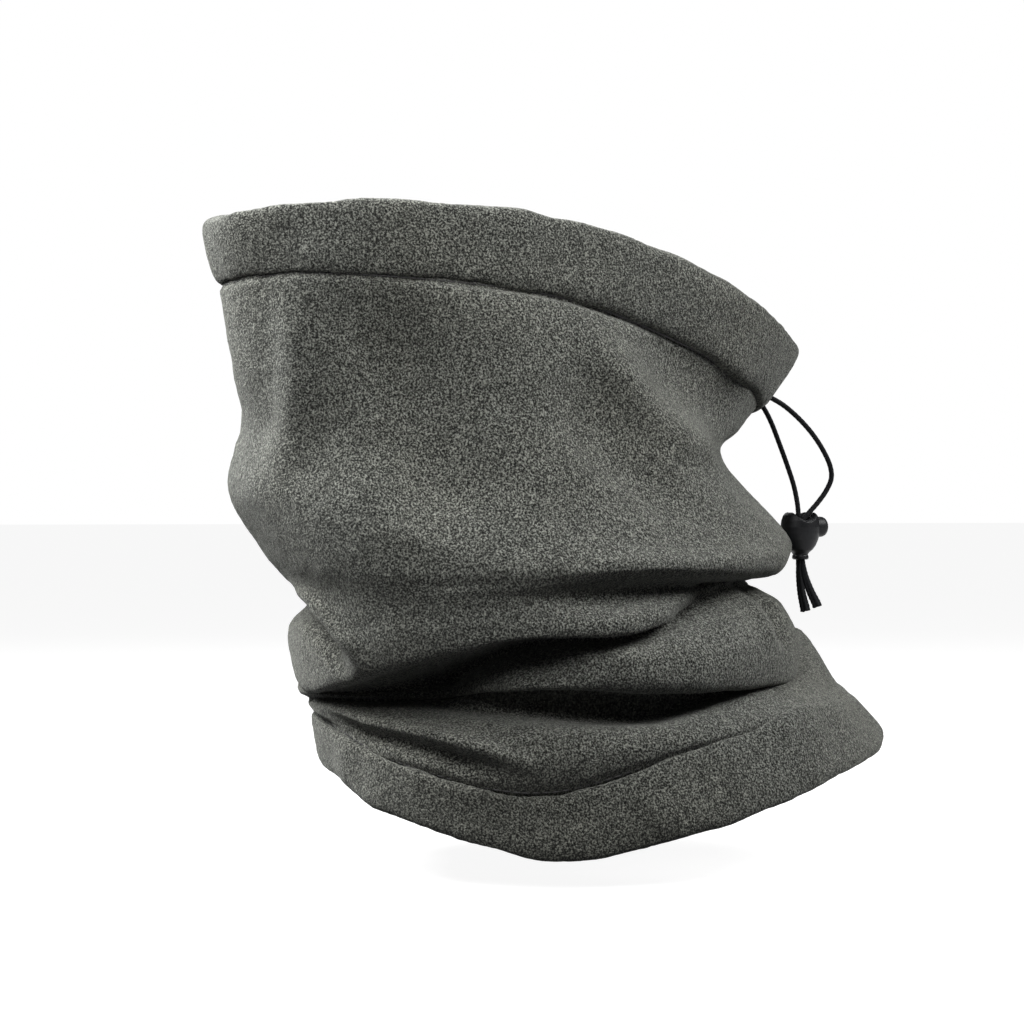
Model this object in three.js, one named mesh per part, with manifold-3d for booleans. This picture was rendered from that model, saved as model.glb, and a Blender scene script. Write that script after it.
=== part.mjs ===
// Neck gaiter: a slouched tube of thick fleece with a folded drawcord casing round
// the face opening, a folded hem round the shoulders, and an elastic cord that leaves
// the casing at the nape and runs through a spring cord lock.
// Millimetres. +Z is up, the wearer faces -Y and the wearer's left is +X. The origin
// is on the neck's axis, level with the lowest point of the shoulder hem.
import * as THREE from 'three';
import { mergeVertices } from 'three/addons/utils/BufferGeometryUtils.js';
import Module from 'manifold-3d';

const wasm = await Module();
wasm.setup();

// Fabric
const FLEECE = 3;              // thickness of one layer
const HEM_HALF = 4.4;          // half the thickness of a folded hem
const HEM_INSET = 3.2;         // from a hem's outer line to the middle of its layers
const TUNNEL_HALF = 1.9;       // half the width of the cord tunnel in the casing
const GAP = 0.3;               // between neighbouring pieces
const SEAM_WIDTH = 9;          // seam allowance down the back
const AROUND = 48;             // divisions round the tube

// Drawcord
const CORD = 2;                // cord diameter
const CORD_SIDES = 8;
const EXIT_X = 5;              // each cord exit, left and right of the back seam
const EXIT_AT = 0.7;           // exits and cord, from the casing's top (0) to its stitch (1)
const HOLE = 2.6;              // radius of a cord hole
const STITCH = 0.9;            // thread diameter

// Cord lock
const LOCK_Y = 107.8;          // passage axis
const LOCK_BASE = 111;         // underside of the collar
const LOCK_HEIGHT = 18.3;
const LOCK_FLAT = 0.86;        // width across X over width across Y
const COLLAR_WIDE = 1.22;      // the same for its collar
const COLLAR_TOP = 2.4;
const SADDLE = 5.6;            // radius of the dip across its mouth
const SADDLE_DEPTH = 2;
const SADDLE_TILT = 15;        // degrees; the dip is deeper towards the wearer's left
const BORE = 4.3;              // plunger bore radius
const BORE_Z = 123.6;
const BORE_STEP = -4.95;       // where the bore narrows to the spring's pocket
const POCKET = 2.95;           // radius of that pocket
const BORE_END = -6.6;         // blind end of the pocket, from the passage axis
const PLUNGER = 3.95;
const PLUNGER_INNER = -2.6;
const PLUNGER_DOME = 11.2;      // outer end
const STRAND_X = 1.35;         // the two strands lie side by side in the passage

// The drape. Each ring is an oval: its reach to the front, side and back, then its
// height at each of twelve stations round it, starting at the front and turning to the
// wearer's left, then how far each station is pulled in (-) or let out (+).
const EVEN = [0, 0, 0, 0, 0, 0, 0, 0, 0, 0, 0, 0];
const TOP_EDGE = {
  reach: [133, 60, 103],
  height: [233, 237, 237, 231, 214, 198, 191, 198, 214, 231, 237, 236],
  push: EVEN,
};
const TOP_STITCH = {
  reach: [127, 60, 85],
  height: [210, 212, 210, 204, 189, 175, 169, 175, 189, 204, 210, 211],
  push: EVEN,
};
const BOTTOM_STITCH = {
  reach: [90, 90, 115],
  height: [54, 41, 33, 47, 59, 61, 63, 61, 58, 50, 47, 57],
  push: [-1, 0, 0, 0, 0, 0, 0, 0, 0, 0, 0, -2],
};
const BOTTOM_EDGE = {
  reach: [87, 95, 132],
  height: [34, 20.5, 9, 20, 34, 42, 46, 42, 34, 28, 25, 39],
  push: [-2, 0, 0, 0, 0, 0, 0, 0, 0, 0, 0, -3],
};
const BODY_RINGS = [
  TOP_STITCH,
  { // cheek
    reach: [122, 66, 75],
    height: [182, 184, 182, 177, 169, 162, 159, 162, 169, 177, 182, 183],
    push: [1, -2, -3, 2, -2, -2, 0, -2, -2, 2, -3, -7],
  },
  { // waist
    reach: [116, 72, 66],
    height: [159, 156, 153, 151, 150, 150, 149, 150, 150, 151, 153, 157],
    push: [1, -2, -2, 0, 3, -1, 0, -1, 3, 0, -2, -4],
  },
  { // jaw
    reach: [120, 83, 92],
    height: [134, 128, 123, 121, 120, 119, 118, 119, 120, 121, 124, 130],
    push: EVEN,
  },
  { // lower lip of the main fold
    reach: [105, 88, 87],
    height: [105, 102, 105, 108, 108, 109, 110, 109, 108, 108, 106, 103],
    push: [0, 4, 1, 0, 0, 0, 0, 0, 0, 0, 0, -6],
  },
  { // crease under it
    reach: [96, 86, 80],
    height: [93, 92, 99, 102, 104, 105, 105, 105, 104, 103, 101, 97],
    push: [0, 5, -1, -9, -13, -13, -12, -13, -13, -12, -8, -7],
  },
  { // second roll
    reach: [94, 88, 79],
    height: [79, 83, 91, 95, 100, 101, 101, 101, 100, 96, 93, 87],
    push: [1, 6, 2, 0, -3, -3, -1, -3, -3, 0, 0, 1],
  },
  { // lower edge of the second roll
    reach: [91, 87, 78],
    height: [67, 74, 85, 88, 96, 97, 97, 97, 96, 89, 86, 77],
    push: [2, 4, 2, 0, -3, -3, -1, -3, -3, 0, 0, 2],
  },
  { // deep gap
    reach: [88, 83, 78],
    height: [66, 69, 80, 85, 93, 93, 93, 93, 91, 85, 81, 73],
    push: [-2, -11, -11, -6, -3, -1, 0, -1, -3, -6, -6, 2],
  },
  { // third roll
    reach: [91, 87, 88],
    height: [64, 64, 72, 77, 81, 83, 88, 86, 81, 76, 72, 69],
    push: [-1, -10, -2, 2, 2, 3, -2, -2, 0, 0, -3, 2],
  },
  { // crease
    reach: [88, 82, 84],
    height: [62, 60, 62, 64, 68, 74, 82, 80, 72, 66, 64, 67],
    push: [0, -9, -9, -8, -5, -1, 2, 1, -3, -6, -5, 1],
  },
  { // fourth roll
    reach: [89, 88, 95],
    height: [59, 53, 51, 54, 62, 68, 74, 72, 66, 57, 56, 63],
    push: [0, -1, -1, 0, 0, 6, 11, 9, 3, 0, 0, 0],
  },
  BOTTOM_STITCH,
];

// Free cord stretches, from the cord hole to the cord lock.
const LEFT_LOOP = [
  [5.4, 89.7, 173.7], [5.6, 92.8, 172.3], [5.5, 97.6, 169.8], [5.2, 104.2, 165], [4.8, 110.4, 159.2],
  [4.2, 115.6, 152.8], [3.6, 119, 146.8], [3, 119.8, 142.2], [2.3, 118, 137.6], [1.7, 114.8, 133.2],
  [1.4, 111.6, 129.8], [STRAND_X, 109.4, 127.6], [STRAND_X, 108.3, 126.1],
];
const RIGHT_LOOP = [
  [-5.4, 89.7, 173.7], [-5.5, 92.5, 171.9], [-5.3, 95, 168.8], [-4.9, 97.8, 163.6], [-4.4, 100.8, 156.2],
  [-3.7, 104, 147.6], [-2.8, 106.4, 139.8], [-1.9, 107.4, 133.6], [-1.45, 107.7, 129.4],
  [-STRAND_X, 107.8, 126.1],
];
// From inside the lock, out of its collar and down to the sealed tip.
const LEFT_END = [
  [STRAND_X, 108, 125.6], [STRAND_X, 107.8, 122], [STRAND_X, 107.8, 116], [1.4, 107.9, 111],
  [1.7, 108.8, 105], [2.2, 110.9, 99], [2.6, 113.8, 93.4],
];
const RIGHT_END = [
  [-STRAND_X, 107.8, 125.6], [-STRAND_X, 107.8, 122], [-STRAND_X, 107.8, 116], [-1.4, 107.7, 111],
  [-1.6, 108.2, 105], [-2.1, 109.6, 98], [-2.6, 111.6, 91.5],
];

const FLEECE_GREY = { color: 0x5d5f5c, roughness: 0.95, metalness: 0 };
const THREAD_GREY = { color: 0x3a3c3a, roughness: 0.8, metalness: 0 };
const CORD_BLACK = { color: 0x101216, roughness: 0.7, metalness: 0 };
const LOCK_BLACK = { color: 0x15161a, roughness: 0.4, metalness: 0 };
const STEEL = { color: 0xb8bcc0, roughness: 0.3, metalness: 1 };

const vec = (x, y, z) => new THREE.Vector3(x, y, z);
const points = (list) => list.map((p) => vec(...p));

// A smooth value round the ring, through one number per station.
function around(values, turn) {
  const at = turn * values.length;
  const i = Math.floor(at);
  const s = at - i;
  const pick = (k) => values[(((i + k) % values.length) + values.length) % values.length];
  const [a, b, c, d] = [pick(-1), pick(0), pick(1), pick(2)];
  return b + 0.5 * s * (c - a + s * (2 * a - 5 * b + 4 * c - d + s * (3 * (b - c) + d - a)));
}

// Point of a ring at a turn from 0 to 1, moved out of the oval by `out`.
function ringPoint(ring, turn, out = 0) {
  const [front, side, back] = ring.reach;
  const angle = turn * 2 * Math.PI;
  const middle = (back - front) / 2;
  const half = (back + front) / 2;
  const x = side * Math.sin(angle);
  const y = -half * Math.cos(angle);
  const normal = new THREE.Vector2(x / (side * side), y / (half * half)).normalize();
  const move = around(ring.push, turn) + out;
  return vec(x + move * normal.x, middle + y + move * normal.y, around(ring.height, turn));
}

// Point between two rings, from the first (0) to the second (1).
function between(first, second, share, turn, out = 0) {
  return ringPoint(first, turn, out).lerp(ringPoint(second, turn, out), share);
}

// A closed band: the same closed section, point for point, at every turn.
function band(sectionAt) {
  const sections = [];
  for (let i = 0; i < AROUND; i += 1) {
    sections.push(sectionAt(i / AROUND));
  }
  const count = sections[0].length;
  const index = [];
  for (let i = 0; i < AROUND; i += 1) {
    const next = (i + 1) % AROUND;
    for (let j = 0; j < count; j += 1) {
      const k = (j + 1) % count;
      const [a, b, c, d] = [i * count + j, next * count + j, next * count + k, i * count + k];
      index.push(a, b, c, a, c, d);
    }
  }
  const geometry = new THREE.BufferGeometry().setFromPoints(sections.flat());
  geometry.setIndex(index);
  return facingOut(geometry);
}

// Turns the triangles over if the volume they enclose comes out negative.
function facingOut(geometry) {
  const p = geometry.getAttribute('position');
  const index = geometry.getIndex().array;
  const corner = [vec(0, 0, 0), vec(0, 0, 0), vec(0, 0, 0)];
  let volume = 0;
  for (let t = 0; t < index.length; t += 3) {
    corner.forEach((v, k) => v.fromBufferAttribute(p, index[t + k]));
    volume += corner[0].dot(corner[1].clone().cross(corner[2]));
  }
  if (volume < 0) {
    geometry.setIndex(Array.from(index).reverse());
  }
  geometry.computeVertexNormals();
  return geometry;
}

// Solids for cutting, and back.
function solid(geometry) {
  const plain = geometry.clone();
  plain.deleteAttribute('normal');
  plain.deleteAttribute('uv');
  const merged = mergeVertices(plain, 1e-4);
  return new wasm.Manifold(new wasm.Mesh({
    numProp: 3,
    vertProperties: new Float32Array(merged.getAttribute('position').array),
    triVerts: new Uint32Array(merged.getIndex().array),
  }));
}

function surface(cut) {
  const mesh = cut.getMesh();
  const geometry = new THREE.BufferGeometry();
  geometry.setAttribute('position', new THREE.BufferAttribute(mesh.vertProperties, 3));
  geometry.setIndex(Array.from(mesh.triVerts));
  geometry.computeVertexNormals();
  return geometry;
}

// A smooth route that is divided evenly between its points, not along its length, so
// that closely set points give a bend the steps it needs.
class Route extends THREE.CatmullRomCurve3 {
  getUtoTmapping(share) {
    return share;
  }
}

// A round tube along a route, two steps from each point to the next.
function tube(route, diameter, sides = CORD_SIDES) {
  const shape = new THREE.Shape();
  for (let i = 0; i < sides; i += 1) {
    const a = (i / sides) * 2 * Math.PI;
    const [x, y] = [0.5 * diameter * Math.cos(a), 0.5 * diameter * Math.sin(a)];
    if (i === 0) {
      shape.moveTo(x, y);
    } else {
      shape.lineTo(x, y);
    }
  }
  const extrudePath = new Route(route, false, 'centripetal');
  const steps = 2 * (route.length - 1);
  return new THREE.ExtrudeGeometry(shape, { steps, extrudePath, bevelEnabled: false });
}

// Main tube: an outer and an inner skin through all the rings, half a step apart.
function fleeceBody() {
  const skin = (turn, out) => {
    const path = new THREE.CatmullRomCurve3(BODY_RINGS.map((ring) => ringPoint(ring, turn, out)));
    const last = BODY_RINGS.length - 1;
    const list = [];
    for (let i = 0; i <= last; i += 0.5) {
      const share = Math.min(Math.max(i / last, 0.0025), 0.9975);
      list.push(path.getPoint(share));
    }
    return list;
  };
  return band((turn) => [...skin(turn, 0), ...skin(turn, -FLEECE).reverse()]);
}

// Section of a folded hem: rounded along both edges, doubled everywhere between.
function hemSection(first, second, turn) {
  const stops = [0, 0.04, 0.15, 0.4, 0.7, 0.93, 1];
  const half = (share) => HEM_HALF * Math.sqrt(1 - Math.abs(2 * share - 1) ** 5);
  const place = (share, side) => {
    const shown = 0.01 + 0.975 * share;
    return between(first, second, shown, turn, side * half(share) - HEM_INSET);
  };
  const outside = stops.map((share) => place(share, 1));
  const inside = stops.slice(1, -1).reverse().map((share) => place(share, -1));
  return [...outside, ...inside];
}

// Middle of the cord tunnel at a turn, moved out of the casing by `out`.
const tunnelPoint = (turn, out = 0) => between(TOP_EDGE, TOP_STITCH, EXIT_AT, turn, out - HEM_INSET);

// The turn at which the tunnel's middle reaches a given x near the nape.
function napeTurn(x) {
  return 0.5 - Math.sign(x) * Math.asin(Math.abs(x) / (TOP_STITCH.reach[1] - HEM_INSET)) / (2 * Math.PI);
}

// The frame of a cord exit: its middle in the tunnel, and the directions up the casing,
// across it towards +X, and square out of the fabric.
function exitFrame(x) {
  const turn = napeTurn(x);
  const at = tunnelPoint(turn);
  const up = ringPoint(TOP_EDGE, turn).sub(ringPoint(TOP_STITCH, turn)).normalize();
  const across = new THREE.Vector3().crossVectors(tunnelPoint(turn, 5).sub(at), up).normalize();
  const square = new THREE.Vector3().crossVectors(up, across).normalize();
  return { at, up, across, square };
}

// Places a piece that points along +Y at a cord exit, pointing out of the fabric.
function atExit(geometry, x, out) {
  const { at, up, across, square } = exitFrame(x);
  geometry.applyMatrix4(new THREE.Matrix4().makeBasis(across, square, up));
  const place = at.addScaledVector(square, out);
  return geometry.translate(place.x, place.y, place.z);
}

// The casing: a hollow hem, opened at the two cord holes.
function topCasing() {
  const tunnelStops = [0.16, 0.3, 0.7, 0.88];
  const tunnelWide = [0.3, 1, 1, 0.6];
  const tunnel = band((turn) => {
    const side = (sign) => tunnelStops.map((share, i) =>
      between(TOP_EDGE, TOP_STITCH, share, turn, sign * tunnelWide[i] * TUNNEL_HALF - HEM_INSET));
    return [...side(1), ...side(-1).reverse()];
  });
  let casing = solid(band((turn) => hemSection(TOP_EDGE, TOP_STITCH, turn))).subtract(solid(tunnel));
  for (const x of [EXIT_X, -EXIT_X]) {
    const hole = new THREE.CylinderGeometry(HOLE, HOLE, 12, 16);
    casing = casing.subtract(solid(atExit(hole, x, 6)));
  }
  return surface(casing);
}

// Stitched ring round a cord hole, lying on the casing.
function eyelet(x) {
  const ring = [];
  for (let i = 0; i <= 8; i += 1) {
    const a = (i / 8) * 2 * Math.PI;
    ring.push(new THREE.Vector2(HOLE + 0.5 + 0.6 * Math.cos(a), 0.6 * Math.sin(a)));
  }
  return atExit(new THREE.LatheGeometry(ring, 20), x, HEM_HALF + 1.1);
}

// A thread laid round the tube, just outside a stitch line.
function stitchLine(ring) {
  const sides = 6;
  const clear = STITCH / 2 + 0.5;
  return band((turn) => {
    const middle = ringPoint(ring, turn, clear);
    const away = ringPoint(ring, turn, clear + 10).sub(middle).normalize();
    const list = [];
    for (let i = 0; i < sides; i += 1) {
      const a = (i / sides) * 2 * Math.PI;
      const point = middle.clone().addScaledVector(away, 0.5 * STITCH * Math.cos(a));
      point.z += 0.5 * STITCH * Math.sin(a);
      list.push(point);
    }
    return list;
  });
}

// Seam allowance: the joined edges of the tube, turned in down the back.
function backSeam() {
  const clear = 2.6;
  const half = SEAM_WIDTH / 2;
  const last = BODY_RINGS.length - 1;
  const layer = (depth) => {
    const path = new THREE.CatmullRomCurve3(
      BODY_RINGS.map((ring) => ringPoint(ring, 0.5, -FLEECE - depth)),
    );
    const list = [];
    for (let i = 0.5; i <= last - 0.5; i += 0.5) {
      list.push(path.getPoint(i / last));
    }
    return list;
  };
  const [near, far] = [layer(clear), layer(clear + FLEECE)];
  const rows = near.length;
  const corners = near.map((p, i) => [
    vec(half, p.y, p.z),
    vec(-half, p.y, p.z),
    vec(-half, far[i].y, far[i].z),
    vec(half, far[i].y, far[i].z),
  ]);
  const index = [];
  for (let i = 0; i < rows - 1; i += 1) {
    for (let j = 0; j < 4; j += 1) {
      const k = (j + 1) % 4;
      const [a, b, c, d] = [i * 4 + j, i * 4 + k, (i + 1) * 4 + k, (i + 1) * 4 + j];
      index.push(a, b, c, a, c, d);
    }
  }
  const end = (rows - 1) * 4;
  index.push(0, 2, 1, 0, 3, 2, end, end + 1, end + 2, end, end + 2, end + 3);
  const geometry = new THREE.BufferGeometry().setFromPoints(corners.flat());
  geometry.setIndex(index);
  return facingOut(geometry);
}

// The cord inside the casing, from one hole round the front to the other.
function casingRun() {
  const route = [];
  const lead = (sign) => {
    const { at, across, square } = exitFrame(sign * EXIT_X);
    const aside = Math.sign(across.x) * sign;
    const bend = [[0, 3.2], [0.2, 1.8], [1.1, 0.6]].map(([side, out]) =>
      at.clone().addScaledVector(across, aside * side).addScaledVector(square, out));
    return [...bend, tunnelPoint(napeTurn(sign * (EXIT_X + 3.5)))];
  };
  const start = napeTurn(EXIT_X + 9);
  const stops = 36;
  for (let i = 0; i <= stops; i += 1) {
    route.push(tunnelPoint(start - (i / stops) * (2 * start)));
  }
  return tube([...lead(1), ...route, ...lead(-1).reverse()], CORD);
}

// Lock housing: a barrel-shaped turning, flattened, with a dip across its mouth, a funnel
// and slot for the cords, a bore for the plunger and a blind pocket for its spring.
function lockHousing() {
  const outline = [
    [0, 0], [2.5, 0], [3, 0.4], [3, 1.3], [2.7, 1.9], [3.2, 2.7], [4.7, 3.8], [6.1, 5.4], [7.1, 7.6],
    [7.7, 10.1], [7.9, 12.5], [7.6, 15], [6.9, 16.9], [6, 17.9], [5, LOCK_HEIGHT], [0, LOCK_HEIGHT],
  ].map(([r, h]) => new THREE.Vector2(r, h));
  const upright = (geometry) => geometry.rotateX(Math.PI / 2);
  const shell = upright(new THREE.LatheGeometry(outline, 28));
  const at = shell.getAttribute('position');
  for (let i = 0; i < at.count; i += 1) {
    const rise = Math.min(Math.max((at.getZ(i) - COLLAR_TOP) / COLLAR_TOP, 0), 1);
    at.setX(i, at.getX(i) * (COLLAR_WIDE + (LOCK_FLAT - COLLAR_WIDE) * rise));
  }
  const slot = upright(new THREE.CylinderGeometry(1.7, 1.7, 40, 20)).scale(1.6, 1, 1);
  const funnel = upright(new THREE.CylinderGeometry(6.9, 1.9, 8, 24)).scale(0.76, 1, 1);
  funnel.translate(0, 0, LOCK_HEIGHT - 1.5);
  const saddle = new THREE.CylinderGeometry(SADDLE, SADDLE, 40, 28).rotateZ(Math.PI / 2);
  saddle.rotateY((SADDLE_TILT * Math.PI) / 180);
  saddle.translate(0, 0, LOCK_HEIGHT + SADDLE - SADDLE_DEPTH);
  const steps = [
    [0, BORE_END], [POCKET, BORE_END], [POCKET, BORE_STEP], [BORE, BORE_STEP], [BORE, 14], [0, 14],
  ].map(([r, h]) => new THREE.Vector2(r, h));
  const bore = new THREE.LatheGeometry(steps, 28);
  bore.translate(0, 0, BORE_Z - LOCK_BASE);
  let housing = solid(shell);
  for (const tool of [slot, funnel, saddle, bore]) {
    housing = housing.subtract(solid(tool));
  }
  return surface(housing).translate(0, LOCK_Y, LOCK_BASE);
}

// Plunger: a pin with a domed button, and a window that the two strands pass through.
function lockPlunger() {
  const outline = [
    [0, PLUNGER_INNER], [PLUNGER, PLUNGER_INNER], [PLUNGER, 8.6], [3.85, 9.4], [3.5, 10.2],
    [2.8, 10.8], [1.6, 11.15], [0, PLUNGER_DOME],
  ].map(([r, h]) => new THREE.Vector2(r, h));
  const pin = new THREE.LatheGeometry(outline, 28);
  const window = new THREE.BoxGeometry(6.2, 5.4, 12).translate(0, 1.35, 0);
  const plunger = surface(solid(pin).subtract(solid(window)));
  return plunger.translate(0, LOCK_Y, BORE_Z);
}

// Return spring between the pocket's blind end and the plunger.
function lockSpring() {
  const wire = 0.5;
  const coil = 2.4;
  const turns = 3.5;
  const low = BORE_END + wire / 2 + GAP;
  const high = PLUNGER_INNER - wire / 2 - GAP;
  const stops = 28;
  const route = [];
  for (let i = 0; i <= stops; i += 1) {
    const a = (i / stops) * turns * 2 * Math.PI;
    const y = LOCK_Y + low + ((high - low) * i) / stops;
    route.push(vec(coil * Math.cos(a), y, BORE_Z + coil * Math.sin(a)));
  }
  return tube(route, wire, 6);
}

const gaiter = new THREE.Group();

function add(name, geometry, finish) {
  const mesh = new THREE.Mesh(geometry, new THREE.MeshStandardMaterial(finish));
  mesh.name = name;
  gaiter.add(mesh);
}

add('fleece_body', fleeceBody(), FLEECE_GREY);
add('top_casing', topCasing(), FLEECE_GREY);
add('bottom_hem', band((turn) => hemSection(BOTTOM_EDGE, BOTTOM_STITCH, turn)), FLEECE_GREY);
add('back_seam_allowance', backSeam(), FLEECE_GREY);
add('top_hem_stitch', stitchLine(TOP_STITCH), THREAD_GREY);
add('bottom_hem_stitch', stitchLine(BOTTOM_STITCH), THREAD_GREY);
add('eyelet_left', eyelet(EXIT_X), THREAD_GREY);
add('eyelet_right', eyelet(-EXIT_X), THREAD_GREY);
add('drawcord_casing_run', casingRun(), CORD_BLACK);
add('drawcord_left_loop', tube(points(LEFT_LOOP), CORD), CORD_BLACK);
add('drawcord_right_loop', tube(points(RIGHT_LOOP), CORD), CORD_BLACK);
add('drawcord_left_end', tube(points(LEFT_END), CORD), CORD_BLACK);
add('drawcord_right_end', tube(points(RIGHT_END), CORD), CORD_BLACK);
add('lock_housing', lockHousing(), LOCK_BLACK);
add('lock_plunger', lockPlunger(), LOCK_BLACK);
add('lock_spring', lockSpring(), STEEL);

export default gaiter;
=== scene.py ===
import math

import bmesh
import bpy
import numpy as np
from mathutils import Euler, Matrix, Vector


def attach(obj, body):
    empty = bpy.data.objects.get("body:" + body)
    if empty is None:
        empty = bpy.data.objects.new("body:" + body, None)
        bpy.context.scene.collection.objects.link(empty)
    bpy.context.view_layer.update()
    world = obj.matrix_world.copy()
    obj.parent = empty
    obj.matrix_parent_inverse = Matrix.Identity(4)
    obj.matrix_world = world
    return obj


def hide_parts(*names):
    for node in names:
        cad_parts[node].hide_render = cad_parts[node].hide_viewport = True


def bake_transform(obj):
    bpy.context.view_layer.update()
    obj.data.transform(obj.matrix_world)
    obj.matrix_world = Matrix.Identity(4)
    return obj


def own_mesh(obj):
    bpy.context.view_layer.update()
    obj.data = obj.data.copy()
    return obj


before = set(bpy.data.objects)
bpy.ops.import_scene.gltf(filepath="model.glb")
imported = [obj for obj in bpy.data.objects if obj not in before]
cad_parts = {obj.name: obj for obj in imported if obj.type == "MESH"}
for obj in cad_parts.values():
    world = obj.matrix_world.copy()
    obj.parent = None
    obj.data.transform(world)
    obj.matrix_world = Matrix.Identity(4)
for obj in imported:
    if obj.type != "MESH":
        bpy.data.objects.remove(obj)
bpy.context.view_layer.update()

MM = 0.001

# ---------------------------------------------------------------- driving dimensions, mm
FLEECE = 3.0            # one layer
HEM_HALF = 4.4          # half the thickness of a folded hem
HEM_INSET = 3.2         # from a hem's outer line to the middle of its layers
GROOVE = 2.1            # how deep a stitch line sinks into the pile
SEAM_GROOVE = 1.7       # how deep the back seam sinks into the pile
SEAM_WIDTH = 9.0        # both allowances of the back seam together
SEAM_CLEAR = 2.6        # from the inside of the body to those allowances
HOLE = 2.6              # cord holes in the casing, radius
TUCK = 3.0              # how far the body reaches in between a hem's layers
MM_PER_DEGREE = 1.7     # round the drape, on average
STITCHES = 176          # in each stitch row
PUCKERS = 168           # fine puckers beside it
CORD = 2.0              # cord diameter
LOCK_Y = 107.8          # middle of the cord lock
LOCK_BASE = 111.0       # height of its lower end
LOCK_HEIGHT = 18.3
LOCK_FLAT = 0.86        # how much narrower it is from side to side
COLLAR_WIDE = 1.22      # how much wider its collar is from side to side
COLLAR_TOP = 2.4
SADDLE = 5.6            # radius of the dip across its mouth
SADDLE_DEPTH = 2.0
SADDLE_TILT = 15.0      # the dip is deeper towards the wearer's left, degrees
BORE = 4.3              # radius of the plunger's bore
BORE_Z = 123.6
BORE_STEP = -4.95       # where the bore narrows to the spring's pocket, from the middle of the lock
POCKET = 2.95           # radius of the spring's pocket
BORE_END = -6.6         # bottom of the pocket
PLUNGER = 3.95          # radius
PLUNGER_INNER = -2.6    # inner end, from the middle of the lock
PLUNGER_DOME = 11.2     # outer end
CAMERA_AZIMUTH = 65.0   # from the wearer's front towards the wearer's left
CAMERA_DISTANCE = 1150.0
CAMERA_AIM = (-5.6, -12.1, 129.3)
FRAME_WIDTH = 379.3     # what the picture's width spans at the aim point
AMBIENT_LOW = 0.38      # how bright the surroundings are below the gaiter
AMBIENT_HIGH = 1.0     # and above it

EVEN = (0,) * 12


# ---------------------------------------------------------------- the drape
# Each ring is an oval, in mm: its reach to the front, side and back, its height at
# twelve stations from the front round by the wearer's left, and how far each station
# is let out (+) or pulled in (-).
def ring(reach, height, push=EVEN):
    return {"reach": reach, "height": height, "push": push}


TOP_EDGE = ring((133, 60, 103), (233, 237, 237, 231, 214, 198, 191, 198, 214, 231, 237, 236))
TOP_STITCH = ring((127, 60, 85), (210, 212, 210, 204, 189, 175, 169, 175, 189, 204, 210, 211))
BOTTOM_STITCH = ring((90, 90, 115), (54, 41, 33, 47, 59, 61, 63, 61, 58, 50, 47, 57),
                     (-1, 0, 0, 0, 0, 0, 0, 0, 0, 0, 0, -2))
BOTTOM_EDGE = ring((87, 95, 132), (34, 20.5, 9, 20, 34, 42, 46, 42, 34, 28, 25, 39),
                   (-2, 0, 0, 0, 0, 0, 0, 0, 0, 0, 0, -3))

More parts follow.
